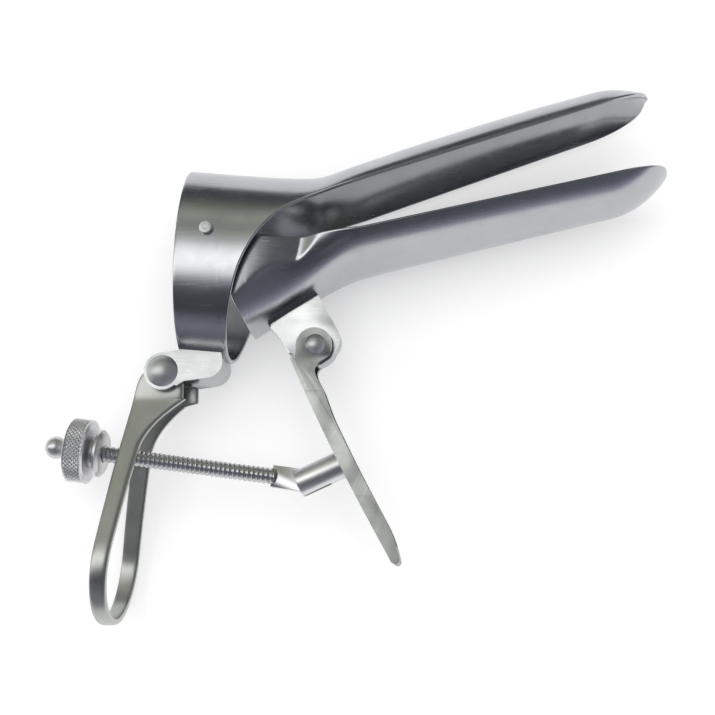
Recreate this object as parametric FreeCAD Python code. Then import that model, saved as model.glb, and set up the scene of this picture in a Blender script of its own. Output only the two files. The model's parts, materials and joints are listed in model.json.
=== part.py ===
import FreeCAD, Part
import math
import os

Vec = FreeCAD.Vector
across = Vec(0, 0, 1)

# Lengths are millimetres. The instrument lies on its far side: X runs from the mouth to the
# blade tips, Y from the handles to the collar, Z up. The valve pivot is at X = Y = 0.

# Pressed sheet of both valves
sheet = 1.1
rivet_gap = 0.06            # radial play of a pivot in its eye
side_play = 0.2             # play between a hinge leaf and its neighbour
overrun = 20.0              # how far a cutter runs past what it cuts

# Collar ring of the outer valve
mouth_x = -9.0              # rim plane behind the valve pivot, at the pivot's height
mouth_lean = math.radians(2.5)
collar_half_width = 20.6
collar_half_height = 28.6
collar_crown = 22.3         # crown above the pivot
collar_fall = 0.12          # crown drop per mm towards the blades
collar_end = 5.0            # where the ring begins to narrow into the blade
ring_back_x = 3.6           # lower back corner of the ring
notch_x = 15.6              # where the cut-out passes the pivot height
notch_low = 22.0            # depths below the pivot of two points on the cut-out
notch_middle = 10.5
notch_run = 8.5             # from there to where the cut-out joins the blade edge
notch_dip = 0.5

# Outer blade
blade_root = 44.0
outer_root_edge = 13.7      # edge height at the blade root
outer_slope = math.radians(17.2)
outer_tip = 127.2
outer_root_width = 18.9     # half widths
outer_tip_width = 14.4
outer_root_crown = 22.9     # crown height at the blade root
outer_crown_slope = 0.345
outer_crown_bend = 0.00081
edge_turn = 4.0             # how far the section's widest line lies behind the edge
outer_tip_length = 15.0
outer_tip_flat = 0.25

# Inner valve
inner_root_edge = -0.7
inner_slope = math.radians(11.46)
inner_tip = 132.2
inner_root_width = 18.3
inner_tip_width = 14.4
bowl_depth = 34.7           # bowl line, carried on to the pivot
bowl_slope = 0.63
inner_root_crown = -9.1
inner_crown_slope = 0.2085
bowl_inset = 1.6            # from the collar's half width to the bowl's
bowl_half_width = collar_half_width - bowl_inset
bowl_taper = 0.327          # widening towards the rim, per mm
bowl_end = 12.0
inner_tip_length = 16.0
inner_tip_flat = 0.12
cheek_inset = 3.4           # from the collar's half width to the cheeks', at the pivot
cheek_half_width = collar_half_width - cheek_inset
cheek_dome = 135.0          # radius of the slightly domed cheeks
joggle_start = 27.0         # radii about the pivot where the cheek steps out
joggle_end = 34.0
joggle_step = 3.4

# Blade ends, seen from above and from the side
tip_fullness = 2.0          # power of the rounded end in plan
plan_length = 18.0          # along which the end is rounded
rise_length = 15.5          # along which both edge lines turn up
tip_rise = 2.0
ear_radius = 5.8
rim_top = (2.6, -9.5)       # rear rim of the bowl, from the ear to the lowest corner
rim_low = (11.2, -29.0)
rim_middle_y = -20.5
cheek_top_x = 15.0
cheek_top_y = -1.3
cheek_dip_x = 24.0          # lowest point of the cheek's upper edge
cheek_end_x = 34.0
cheek_dip = 0.6

# Valve rivets
rivet_radius = 1.2
rivet_head_radius = 1.95
rivet_head_height = 1.406   # above the collar wall
rivet_head_bevel = 0.3
rivet_tail_height = 0.6

# Outer bracket and the loop handle on it
loop_pin_x = -15.0
loop_pin_y = -38.6
loop_pin_radius = 1.6
loop_head_radius = 4.6
loop_head_height = 2.3
bracket_half_width = 6.7
bracket_eye = 5.5
bracket_right = 2.7
bracket_bottom = -41.0
bracket_corner = 5.0
bracket_heel = 0.4          # step from the slot's end to the lower corner
bracket_rise = 8.0          # of the block above its eye, before the ring is cut from it
bracket_root = -8.3         # closed end of the fork slot
slot_half_width = 4.4
leaf = 2.0                  # thickness of the loop strip
loop_radius = 17.0          # round end of the teardrop
loop_bottom = -111.0
leaf_end = -46.5            # where the two leaves start to spread
toe_gap = 0.6
toe_near = -9.3
toe_far = -6.2
loop_eye = 5.1
leaf_back = (-22.6, -40.2)  # on the leaf's back edge, below the eye
strip_x = -24.2             # back edge of the strip where the leaves end
strip_sweep = 8.5           # how far that edge sweeps back down to the round end
strip_width = 6.2
strip_end_width = 3.6
strip_flare = 9.5           # extra width up at the toes

# Inner bracket and the lever handle on it
lever_pin_x = 29.4
lever_pin_y = -31.3
lever_pin_radius = 1.3
lever_head_radius = 3.0
lever_head_height = 1.7
tongue_half_width = 2.5
tongue_eye = 5.8
tongue_shoulder = 6.9
tongue_back_x = 15.6        # where its two sides run into the bowl
tongue_front_x = 29.6
tongue_top_y = -14.0
lever_wall = 1.8
lever_eye = 5.4
heel_x = 21.9
heel_y = -35.2
heel_gap = 0.4
lever_length = 65.2
lever_lean = math.radians(26.3)
lever_depth = 4.8
lever_bow = 0.9

# Screw, boss, nut
screw_pin_x = 26.4
screw_pin_y = -70.4
screw_lean = math.radians(8.4)
screw_radius = 2.45
spigot_radius = 1.9         # turned down end that carries the ball
screw_bevel = 0.5
blade_thick = 2.0           # flat tongue of the screw
blade_half_height = 3.2
blade_length = 8.6
boss_radius = 4.0
boss_lean = math.radians(24.0)
boss_nose = 2.6
boss_pin_radius = 1.1
ball_radius = 3.35
ball_at = 74.9              # along the screw, from its cross pin
wheel_at = 64.1
wheel_width = 6.3
wheel_radius = 9.4
wheel_chamfer = 0.5
hub_radius = 4.6
hub_length = 1.4
collar_gap = 0.1
flange_radius = 7.0
flange_width = 1.7
flange_hub = 0.6
flange_chamfer = 0.9
thread_play = 0.08


def blend(start, end, x):
    t = min(1.0, max(0.0, (x - start) / (end - start)))
    return t * t * (3 - 2 * t)


def mix(low, high, t):
    return low + (high - low) * t


def smooth_max(a, b, softness):
    return (a + b + math.sqrt((a - b) ** 2 + softness ** 2)) / 2


def save(shape, name):
    # The heads of the valve rivets rest on the table
    shape = shape.copy()
    shape.translate(Vec(0, 0, collar_wall() + rivet_head_height))
    shape.exportStep("parts/" + name + ".step")


def polygon(points):
    return Part.makePolygon([Vec(x, y, 0) for x, y in points]).Edges


def curve(points, start_tangent=None, end_tangent=None):
    spline = Part.BSplineCurve()
    nodes = [Vec(x, y, 0) for x, y in points]
    if start_tangent:
        spline.interpolate(Points=nodes, InitialTangent=Vec(*start_tangent, 0),
                           FinalTangent=Vec(*end_tangent, 0))
    else:
        spline.interpolate(nodes)
    return [spline.toShape()]


def arc(centre, radius, start, end):
    middle = (start + end) / 2
    ends = [Vec(centre[0] + radius * math.cos(a), centre[1] + radius * math.sin(a), 0)
            for a in (start, middle, end)]
    return [Part.Arc(*ends).toShape()]


def plate(edges, low, high):
    face = Part.Face(Part.Wire(Part.__sortEdges__(edges)))
    face.translate(Vec(0, 0, low))
    return face.extrude(Vec(0, 0, high - low))


def pin(x, y, radius, low, high):
    return Part.makeCylinder(radius, high - low, Vec(x, y, low), across)


def dome(x, y, radius, height, base, side):
    ball = (radius ** 2 + height ** 2) / (2 * height)
    turn = math.asin(radius / ball) / 2
    middle = Vec(ball * math.sin(turn), 0, height - ball + ball * math.cos(turn))
    ends = Vec(radius, 0, 0), Vec(0, 0, height)
    cap = [Part.Arc(ends[0], middle, ends[1]).toShape()]
    cap += Part.makePolygon([ends[1], Vec(0, 0, 0), ends[0]]).Edges
    cap = Part.Face(Part.Wire(cap)).revolve(Vec(0, 0, 0), across, 360)
    if side < 0:
        cap = cap.mirror(Vec(0, 0, 0), across)
    cap.translate(Vec(x, y, base))
    return cap


def section(x, shape, inset):
    centre, half_width, half_height = shape(x)
    circle = Part.makeCircle(1, Vec(0, 0, 0), Vec(1, 0, 0))
    size = FreeCAD.Matrix()
    size.scale(1, half_height - inset, half_width - inset)
    size.move(Vec(x, centre, 0))
    return Part.Wire([circle.transformGeometry(size)])


def loft(stations, shape, inset):
    return Part.makeLoft([section(x, shape, inset) for x in stations], True, False)


def tip_scale(x, tip, length, flat):
    t = min(1.0, max(0.0, (x - tip + length) / length))
    return 1 - (1 - flat) * t * t


def blade_width(x, root, tip, end):
    return mix(root, tip, (x - blade_root) / (end - blade_root))


def plan_cut(tip, half_width):
    # Everything beside and beyond the rounded blade end, seen from above
    side = []
    steps = 8
    for i in range(steps + 1):
        t = math.sin(math.pi / 2 * i / steps)
        side.append((tip - plan_length * (1 - t),
                     half_width * (1 - t ** tip_fullness) ** (1 / tip_fullness)))
    upper = [(x, z) for x, z in side]
    lower = [(x, -z) for x, z in reversed(side)]
    beyond = tip + overrun
    wide = 3 * half_width
    rim = curve(upper, (1, 0), (0, -1)) + curve(lower, (0, -1), (-1, 0))
    rim += polygon([lower[-1], (lower[-1][0], -wide), (beyond, -wide), (beyond, wide),
                    (upper[0][0], wide), upper[0]])
    cutter = plate(rim, -beyond, beyond)
    cutter.rotate(Vec(0, 0, 0), Vec(1, 0, 0), 90)
    return cutter


def tip_lift(x, tip):
    ahead = max(0.0, (x - tip + rise_length) / rise_length)
    return tip_rise * ahead ** 1.2


def edge_points(edge, tip):
    # The blade's edge line from the root to just beyond the tip
    line = [(blade_root, edge(blade_root)), (tip - rise_length, edge(tip - rise_length))]
    turned = [(x, edge(x)) for x in (tip - rise_length, tip - rise_length / 2, tip, tip + 2)]
    return polygon(line) + curve(turned), turned[-1]


def outer_edge(x):
    line = outer_root_edge + math.tan(outer_slope) * (x - blade_root)
    return line + tip_lift(x, outer_tip)


def outer_crown(x):
    ahead = x - blade_root
    blade = outer_root_crown + outer_crown_slope * ahead - outer_crown_bend * ahead ** 2
    return smooth_max(collar_crown - collar_fall * x, blade, 2.0)


def outer_shape(x):
    edge = outer_edge(x)
    crown = outer_crown(x)
    t = blend(collar_end, blade_root, x)
    height = crown - edge + edge_turn
    width = blade_width(x, outer_root_width, outer_tip_width, outer_tip)
    width /= math.sqrt(1 - (edge_turn / height) ** 2)
    half_height = mix(collar_half_height, height, t)
    half_width = mix(collar_half_width, width, t)
    centre = crown - half_height
    flat = tip_scale(x, outer_tip, outer_tip_length, outer_tip_flat)
    centre = edge + (centre - edge) * flat
    return centre, half_width, half_height * flat


def collar_wall():
    # Half width over the collar at the valve pivot
    centre, half_width, half_height = outer_shape(0)
    return half_width * math.sqrt(1 - (centre / half_height) ** 2)


def outer_form(inset, past):
    stations = [mouth_x - 3 - past, 2, 14, 26, 35, blade_root, 60, 85]
    start = outer_tip - outer_tip_length
    stations += [start + outer_tip_length * t for t in (0, 0.35, 0.65, 0.85, 1.0)]
    stations.append(outer_tip + 0.6 + past)
    return loft(stations, outer_shape, inset)


def outer_profile():
    # Side view of what stays: the whole ring, and the blade above its edge line
    low = -2 * collar_half_height
    high = 3 * collar_half_height
    far = outer_tip + overrun
    notch = [(ring_back_x, outer_shape(0)[0] - collar_half_height - 1),
             (mix(ring_back_x, notch_x, 0.22), -notch_low),
             (mix(ring_back_x, notch_x, 0.50), -notch_middle), (notch_x, 0),
             (notch_x + notch_run, outer_edge(notch_x + notch_run) - notch_dip),
             (blade_root, outer_edge(blade_root))]
    slope = math.tan(outer_slope)
    edges = curve(notch, (0.1, 1), (1, slope))
    back = math.tan(mouth_lean)
    rim, last = edge_points(outer_edge, outer_tip)
    edges += rim
    edges += polygon([last, (far, last[1]), (far, high), (mouth_x + back * high, high),
                      (mouth_x + back * low, low), (ring_back_x, low), notch[0]])
    return plate(edges, -2 * collar_half_width, 2 * collar_half_width)


def outer_valve():
    shell = outer_form(0, 0).cut(outer_form(sheet, 1))
    shell = shell.common(outer_profile())
    half_width = blade_width(outer_tip - plan_length, outer_root_width, outer_tip_width, outer_tip)
    shell = shell.cut(plan_cut(outer_tip, half_width + 0.05))
    shell = shell.cut(pin(0, 0, rivet_radius, -2 * collar_half_width, 2 * collar_half_width))
    return shell.removeSplitter()


def inner_edge(x):
    line = inner_root_edge + math.tan(inner_slope) * (x - blade_root)
    return line + tip_lift(x, inner_tip)


def inner_crown(x):
    bowl = -bowl_depth + bowl_slope * x
    blade = inner_root_crown + inner_crown_slope * (x - blade_root)
    return -smooth_max(-bowl, -blade, 2.0)


def inner_shape(x):
    edge = inner_edge(x)
    crown = inner_crown(x)
    t = blend(bowl_end, blade_root, x)
    height = edge - crown + edge_turn
    width = blade_width(x, inner_root_width, inner_tip_width, inner_tip)
    width /= math.sqrt(1 - (edge_turn / height) ** 2)
    half_height = mix(-crown, height, t)
    half_width = mix(bowl_half_width - bowl_taper * (x - bowl_end), width, t)
    centre = crown + half_height
    flat = tip_scale(x, inner_tip, inner_tip_length, inner_tip_flat)
    centre = edge + (centre - edge) * flat
    return centre, half_width, half_height * flat


def cheek_cutter(inset):
    # Turned about the pivot: leaves a slightly domed cheek, then steps out at the joggle
    top = cheek_half_width - inset
    drop = joggle_start ** 2 / (2 * cheek_dome)
    half_drop = drop / 4
    out = top - drop + joggle_step
    face = Part.Arc(Vec(0, 0, top), Vec(joggle_start / 2, 0, top - half_drop),
                    Vec(joggle_start, 0, top - drop)).toShape()
    rest = Part.makePolygon([Vec(joggle_start, 0, top - drop), Vec(joggle_end, 0, out),
                             Vec(joggle_end, 0, top + overrun), Vec(0, 0, top + overrun),
                             Vec(0, 0, top)])
    wire = Part.Wire([face] + rest.Edges)
    near = Part.Face(wire).revolve(Vec(0, 0, 0), across, 360)
    far = near.mirror(Vec(0, 0, 0), across)
    return near, far


def inner_form(inset, past):
    stations = [-ear_radius - 1 - past, 4, 14, 24, 34, blade_root, 60, 90]
    start = inner_tip - inner_tip_length
    stations += [start + inner_tip_length * t for t in (0, 0.35, 0.65, 0.85, 1.0)]
    stations.append(inner_tip + 0.6 + past)
    form = loft(stations, inner_shape, inset)
    for side in cheek_cutter(inset):
        form = form.cut(side)
    return form


def inner_profile():
    low = -2 * collar_half_height
    far = inner_tip + overrun
    start = math.radians(55)
    end = math.radians(285)
    ear_start = (ear_radius * math.cos(start), ear_radius * math.sin(start))
    ear_end = (ear_radius * math.cos(end), ear_radius * math.sin(end))
    edges = arc((0, 0), ear_radius, start, end)
    edges += curve([ear_end, rim_top, (mix(rim_top[0], rim_low[0], 0.55), rim_middle_y), rim_low])
    top = [ear_start, (cheek_top_x, cheek_top_y), (cheek_dip_x, cheek_top_y - cheek_dip),
           (cheek_end_x, cheek_top_y), (blade_root, inner_edge(blade_root))]
    edges += polygon(top[:2]) + curve(top[1:])
    rim, last = edge_points(inner_edge, inner_tip)
    edges += rim
    edges += polygon([last, (far, last[1]), (far, low), (rim_low[0], low), rim_low])
    return plate(edges, -2 * collar_half_width, 2 * collar_half_width)


def inner_valve():
    shell = inner_form(0, 0).cut(inner_form(sheet, 1))
    shell = shell.common(inner_profile())
    half_width = blade_width(inner_tip - plan_length, inner_root_width, inner_tip_width, inner_tip)
    shell = shell.cut(plan_cut(inner_tip, half_width + 0.05))
    hole = pin(0, 0, rivet_radius + rivet_gap, -2 * collar_half_width, 2 * collar_half_width)
    shell = shell.cut(hole)
    return shell.removeSplitter()


def valve_rivet(side):
    outside = collar_wall()
    inside = cheek_half_width - sheet - side_play
    shank = pin(0, 0, rivet_radius, inside, outside)
    tail = dome(0, 0, rivet_head_radius, rivet_tail_height, inside, -1)
    head = pin(0, 0, rivet_head_radius, outside - sheet, outside + rivet_head_height)
    rim = [edge for edge in head.Edges if edge.BoundBox.ZMin > outside]
    head = head.makeChamfer(rivet_head_bevel, rim[:1]).cut(outer_form(0, 0))
    rivet = shank.fuse(head).fuse(tail).removeSplitter()
    if side < 0:
        rivet = rivet.mirror(Vec(0, 0, 0), across)
    return rivet


def bracket_outline():
    top = loop_pin_y + bracket_eye
    start = math.radians(-45)
    end = math.radians(-270)
    eye = (loop_pin_x, loop_pin_y)
    leave = (eye[0] + bracket_eye * math.cos(start), eye[1] + bracket_eye * math.sin(start))
    heel = (bracket_root - bracket_heel, bracket_bottom)
    knee = (bracket_right - bracket_corner, bracket_bottom + bracket_corner)
    edges = arc(eye, bracket_eye, start, end)
    high = top + bracket_rise
    edges += polygon([(eye[0], top), (mouth_x, top), (mouth_x, high), (bracket_right, high),
                      (bracket_right, knee[1])])
    edges += arc(knee, bracket_corner, 0, math.radians(-90))
    edges += polygon([(knee[0], bracket_bottom), heel, leave])
    return edges


def outer_bracket():
    block = plate(bracket_outline(), -bracket_half_width, bracket_half_width)
    reach = 2 * collar_half_height
    slot = Part.makeBox(bracket_root + reach, reach, 2 * slot_half_width,
                        Vec(-reach, loop_pin_y - reach / 2, -slot_half_width))
    block = block.cut(slot).cut(outer_form(0, 0))
    block = block.cut(pin(loop_pin_x, loop_pin_y, loop_pin_radius, -overrun, overrun))
    return max(block.Solids, key=lambda solid: solid.Volume)


def domed_pin(x, y, radius, half_length, head_radius, head_height):
    body = pin(x, y, radius, -half_length, half_length)
    for side in (1, -1):
        body = body.fuse(dome(x, y, head_radius, head_height, side * half_length, side))
    return body.removeSplitter()


def loop_line(t, side):
    # Side view of the handle strip, from the leaves down to the round end
    y = mix(leaf_end, loop_bottom + 1.2, t)
    left = strip_x - strip_sweep * (1 - (1 - t) ** 1.35)
    width = mix(strip_width, strip_end_width, min(1, 1.4 * t))
    width += strip_flare * max(0, 1 - 4.2 * t) ** 2
    return (left if side < 0 else left + width), y


def loop_side(toe):
    steps = 7
    left = [loop_line(i / steps, -1) for i in range(steps + 1)]
    right = [loop_line(i / steps, 1) for i in range(steps + 1)]
    right = [right[0], loop_line(0.07, 1)] + right[1:]
    eye_top = math.radians(75)
    eye_left = math.radians(160)
    eye = (loop_pin_x, loop_pin_y)
    on_eye = [(eye[0] + loop_eye * math.cos(a), eye[1] + loop_eye * math.sin(a))
              for a in (eye_top, eye_left)]
    toe_top = bracket_bottom - toe_gap
    edges = arc(eye, loop_eye, eye_top, eye_left)
    edges += curve([on_eye[1], leaf_back, left[0]])
    edges += curve(left)
    low = ((left[-1][0] + right[-1][0]) / 2, loop_bottom - 0.1)
    edges += [Part.Arc(Vec(*left[-1], 0), Vec(*low, 0), Vec(*right[-1], 0)).toShape()]
    edges += curve(right)
    edges += polygon([right[0], (toe, right[0][1] - 0.4 * (toe - right[0][0] > 0)),
                      (toe, toe_top), (eye[0] + loop_eye, toe_top), on_eye[0]])
    return edges


def teardrop(inset):
    outer = slot_half_width - side_play
    centre = loop_bottom + loop_radius
    reach = math.hypot(leaf_end - centre, outer)
    turn = math.acos(loop_radius / reach) + math.atan2(outer, leaf_end - centre)
    radius = loop_radius - inset
    half = outer - inset
    tangent = (centre + radius * math.cos(turn), radius * math.sin(turn))
    top = loop_pin_y + overrun
    edges = arc((centre, 0), radius, turn, 2 * math.pi - turn)
    edges += polygon([tangent, (leaf_end, half), (top, half), (top, -half), (leaf_end, -half),
                      (tangent[0], -tangent[1])])
    form = plate(edges, 3 * strip_x, 2 * overrun)
    form.rotate(Vec(0, 0, 0), Vec(0, 0, 1), 90)
    form.rotate(Vec(0, 0, 0), Vec(0, 1, 0), 90)
    return form


def loop_handle():
    band = teardrop(0).cut(teardrop(leaf))
    near = plate(loop_side(toe_near), 0, 2 * overrun).common(band)
    far = plate(loop_side(toe_far), -2 * overrun, 0).common(band)
    hole = pin(loop_pin_x, loop_pin_y, loop_pin_radius + rivet_gap, -overrun, overrun)
    return near.fuse(far).cut(hole).removeSplitter()


def inner_bracket():
    eye = (lever_pin_x, lever_pin_y)
    seat = heel_y + heel_gap
    start = math.radians(205)
    end = math.radians(330)
    ends = [(eye[0] + tongue_eye * math.cos(a), eye[1] + tongue_eye * math.sin(a))
            for a in (start, end)]
    edges = arc(eye, tongue_eye, start, end)
    edges += polygon([ends[0], (heel_x - 0.3, ends[0][1])])
    back = (tongue_back_x, eye[1] + 5.9)
    front = (tongue_front_x, eye[1] + 15.8)
    edges += curve([(heel_x - 0.3, ends[0][1]), (heel_x - 1.7, eye[1] + 0.3),
                    (heel_x - 4.7, eye[1] + 4.3), back])
    edges += polygon([back, (back[0], tongue_top_y), (front[0] - 0.2, tongue_top_y), front])
    edges += curve([front, (front[0] + 2.5, eye[1] + 11.1), (front[0] + 6.0, eye[1] + 4.5),
                    (eye[0] + tongue_shoulder, eye[1] + 0.8), ends[1]])
    tongue = plate(edges, -tongue_half_width, tongue_half_width)
    tongue = tongue.cut(inner_form(0, 0))
    tongue = max(tongue.Solids, key=lambda solid: solid.Volume)
    return tongue.cut(pin(eye[0], eye[1], lever_pin_radius, -overrun, overrun))


def lever_line(t, side):
    # Side view of the channel, from the heel to the tip
    x = heel_x + lever_length * math.sin(lever_lean) * t - lever_bow * math.sin(math.pi * t)
    y = heel_y - lever_length * math.cos(lever_lean) * t
    depth = lever_depth + 1.6 * max(0, 1 - 3.5 * t)
    depth -= 0.45 * lever_depth * max(0, 5 * t - 4) ** 2
    return (x if side < 0 else x + depth), y


def lever_outline():
    steps = 6
    eye = (lever_pin_x - 0.4, lever_pin_y - 0.3)
    start = math.radians(-35)
    end = math.radians(190)
    ends = [(eye[0] + lever_eye * math.cos(a), eye[1] + lever_eye * math.sin(a))
            for a in (start, end)]
    left = [lever_line(i / steps, -1) for i in range(steps + 1)]
    right = [lever_line(i / steps, 1) for i in range(1, steps + 1)]
    neck = (right[0][0] - 2.6, right[0][1] + 6.6)
    edges = arc(eye, lever_eye, start, end)
    edges += polygon([ends[1], (ends[1][0] - 0.2, heel_y), left[0]])
    edges += curve(left)
    edges += arc_tip(left[-1], right[-1])
    edges += curve([right[i] for i in range(len(right) - 1, -1, -1)] + [neck, ends[0]])
    return edges


def arc_tip(first, last):
    middle = ((first[0] + last[0]) / 2 + 0.3, first[1] - 1.2)
    return [Part.Arc(Vec(*first, 0), Vec(*middle, 0), Vec(*last, 0)).toShape()]


def lever_handle():
    half = tongue_half_width + side_play + lever_wall
    channel_half = half - lever_wall
    body = plate(lever_outline(), -half, half)
    shift = lever_wall / math.cos(lever_lean)
    channel = plate(lever_outline(), -channel_half, channel_half)
    channel.translate(Vec(shift, 0.0, 0))
    above = Part.makeBox(2 * overrun, 2 * overrun, 2 * channel_half,
                         Vec(heel_x - overrun / 2, heel_y, -channel_half))
    tail = lever_line(0.93, -1)
    floor = Part.makeBox(2 * overrun, overrun, 2 * channel_half,
                         Vec(tail[0] - overrun, tail[1] - overrun, -channel_half))
    body = body.cut(channel.cut(floor)).cut(above)
    hole = pin(lever_pin_x, lever_pin_y, lever_pin_radius + rivet_gap, -overrun, overrun)
    body = body.cut(hole)
    return body.removeSplitter()


def on_screw(edges):
    # A solid of revolution about the screw: X is the distance from the cross pin, Y the radius
    solid = Part.Face(Part.Wire(edges)).revolve(Vec(0, 0, 0), Vec(1, 0, 0), 360)
    solid.rotate(Vec(0, 0, 0), across, 180 - math.degrees(screw_lean))
    solid.translate(Vec(screw_pin_x, screw_pin_y, 0))
    return solid


def turned(points):
    return on_screw(polygon(points + points[:1]))


def along_boss(distance):
    return Vec(screw_pin_x + distance * math.cos(boss_lean),
               screw_pin_y + distance * math.sin(boss_lean), 0)


def screw_rod():
    shoulder = ball_at - math.sqrt(ball_radius ** 2 - spigot_radius ** 2)
    rod = turned([(blade_length, 0), (blade_length, screw_radius - screw_bevel),
                  (blade_length + screw_bevel, screw_radius), (shoulder, screw_radius),
                  (shoulder, spigot_radius), (ball_at, spigot_radius), (ball_at, 0)])
    half = blade_thick / 2
    flat = Part.makeBox(blade_length + 1.5, 2 * blade_half_height, blade_thick,
                        Vec(0, -blade_half_height, -half))
    flat = flat.fuse(pin(0, 0, blade_half_height, -half, half))
    flat.rotate(Vec(0, 0, 0), across, 180 - math.degrees(screw_lean))
    flat.translate(Vec(screw_pin_x, screw_pin_y, 0))
    hole = pin(screw_pin_x, screw_pin_y, boss_pin_radius + rivet_gap, -overrun, overrun)
    flat = flat.cut(hole)
    return rod.fuse(flat).removeSplitter()


def screw_boss():
    start = along_boss(-boss_nose)
    axis = along_boss(1) - along_boss(0)
    body = Part.makeCylinder(boss_radius, 30, start, axis)
    half = tongue_half_width + side_play + lever_wall
    wall = plate(lever_outline(), -half - 5, half + 5)
    body = body.cut(wall)
    body = min(body.Solids, key=lambda solid: solid.CenterOfMass.x)
    slot = Part.makeBox(2 * (boss_nose + blade_half_height + 0.6), 30, blade_thick + side_play,
                        Vec(-boss_nose - blade_half_height - 0.6, -15,
                            -(blade_thick + side_play) / 2))
    slot.rotate(Vec(0, 0, 0), across, math.degrees(boss_lean))
    slot.translate(Vec(screw_pin_x, screw_pin_y, 0))
    body = body.cut(slot)
    return body.cut(pin(screw_pin_x, screw_pin_y, boss_pin_radius, -overrun, overrun))


def boss_pin():
    half = math.sqrt(boss_radius ** 2 - boss_pin_radius ** 2) - 0.1
    return pin(screw_pin_x, screw_pin_y, boss_pin_radius, -half, half)


def end_ball():
    # Bored for the screw's spigot, which stops inside it
    face = math.sqrt(ball_radius ** 2 - spigot_radius ** 2)
    start = (ball_at - face, spigot_radius)
    pole = (ball_at + ball_radius, 0)
    top = (ball_at, ball_radius)
    edges = [Part.Arc(Vec(*start, 0), Vec(*top, 0), Vec(*pole, 0)).toShape()]
    return on_screw(edges + polygon([pole, (ball_at, 0), (ball_at, spigot_radius), start]))


def thumb_nut():
    bore = screw_radius + thread_play
    near = wheel_at
    far = wheel_at + wheel_width
    rim = wheel_radius
    bevel = wheel_chamfer
    return turned([(near - hub_length, bore), (near - hub_length, hub_radius), (near, hub_radius),
                   (near, rim - bevel), (near + bevel, rim), (far - bevel, rim),
                   (far, rim - bevel), (far, bore)])


def thrust_collar():
    bore = screw_radius + thread_play
    back = wheel_at - hub_length - collar_gap
    rear = back - flange_hub
    front = rear - flange_width
    return turned([(back, bore), (back, hub_radius + 0.4), (rear, hub_radius + 0.4),
                   (rear, flange_radius), (front + flange_chamfer, flange_radius),
                   (front, flange_radius - flange_chamfer), (front, bore)])


def main():
    os.makedirs("parts", exist_ok=True)
    save(outer_valve(), "outer_valve")
    save(inner_valve(), "inner_valve")
    save(valve_rivet(1), "valve_rivet_near")
    save(valve_rivet(-1), "valve_rivet_far")
    save(outer_bracket(), "outer_bracket")
    save(domed_pin(loop_pin_x, loop_pin_y, loop_pin_radius, bracket_half_width,
                   loop_head_radius, loop_head_height), "loop_pin")
    save(loop_handle(), "loop_handle")
    save(inner_bracket(), "inner_bracket")
    save(domed_pin(lever_pin_x, lever_pin_y, lever_pin_radius,
                   tongue_half_width + side_play + lever_wall + 0.1,
                   lever_head_radius, lever_head_height), "lever_pin")
    save(lever_handle(), "lever_handle")
    save(screw_boss(), "screw_boss")
    save(boss_pin(), "boss_pin")
    save(screw_rod(), "screw_rod")
    save(end_ball(), "end_ball")
    save(thumb_nut(), "thumb_nut")
    save(thrust_collar(), "thrust_collar")


main()
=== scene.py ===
import json
import math

import bmesh
import bpy
from mathutils import Matrix, Vector


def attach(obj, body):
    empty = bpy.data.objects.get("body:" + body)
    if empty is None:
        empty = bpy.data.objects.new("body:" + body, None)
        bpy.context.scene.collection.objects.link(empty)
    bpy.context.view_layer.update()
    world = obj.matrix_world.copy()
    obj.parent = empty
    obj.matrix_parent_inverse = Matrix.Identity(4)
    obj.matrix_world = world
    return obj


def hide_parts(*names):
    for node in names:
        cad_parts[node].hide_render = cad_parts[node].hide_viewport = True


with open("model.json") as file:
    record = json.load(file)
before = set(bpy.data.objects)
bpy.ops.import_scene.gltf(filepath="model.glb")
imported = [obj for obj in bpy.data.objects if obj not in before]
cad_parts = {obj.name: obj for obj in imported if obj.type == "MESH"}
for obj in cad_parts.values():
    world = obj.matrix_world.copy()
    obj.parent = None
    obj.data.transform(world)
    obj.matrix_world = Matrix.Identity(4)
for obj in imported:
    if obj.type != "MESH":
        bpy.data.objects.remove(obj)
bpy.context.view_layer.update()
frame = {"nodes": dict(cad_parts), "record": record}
print("frame loaded:", len(frame["nodes"]), "nodes")

milli = 0.001
midHeight = 21.5          # mm, the middle plane of the instrument above the table
sheetThickness = 1.1

collar = {
    "mouthX": -8.75, "mouthLean": math.radians(2.5), "halfWidth": 20.6, "halfHeight": 28.6,
    "crown": 22.3, "fall": 0.12, "end": 5.0, "backX": 3.6, "notchX": 15.6, "notchLow": 22.0,
    "notchMiddle": 10.5, "notchRun": 8.5, "notchDip": 0.5, "crownBlend": 2.0,
}
upperBlade = {
    "root": 44.0, "rootEdge": 13.9, "slope": math.radians(17.2), "tip": 126.95,
    "rootWidth": 18.9, "tipWidth": 14.4, "rootCrown": 22.9, "crownSlope": 0.345,
    "crownBend": 0.00081, "edgeTurn": 4.0, "tipLength": 15.0, "tipFlat": 0.14, "lipRise": 2.3,
}
lowerBlade = {
    "root": 44.0, "rootEdge": -0.9, "slope": math.radians(11.46), "tip": 131.95,
    "rootWidth": 18.3, "tipWidth": 14.4, "bowlDepth": 34.7, "bowlSlope": 0.63,
    "rootCrown": -9.1, "crownSlope": 0.2085, "bowlWidth": 19.0, "bowlTaper": 0.327,
    "bowlEnd": 12.0, "edgeTurn": 4.0, "tipLength": 16.0, "tipFlat": 0.12, "lipRise": 1.5,
}
cheek = {
    "halfWidth": 17.2, "dome": 135.0, "joggleStart": 27.0, "joggleEnd": 34.0, "step": 3.4,
    "earRadius": 5.6, "rimTop": (2.8, -9.5), "rimLow": (11.4, -29.0), "topX": 15.0,
    "topY": -1.5, "dip": 0.6, "dipX": 24.0, "endX": 34.0, "rimMiddleY": -20.5, "earFrom": math.radians(55),
    "earTo": math.radians(285), "soften": 0.35, "reach": 40.0,
}
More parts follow.
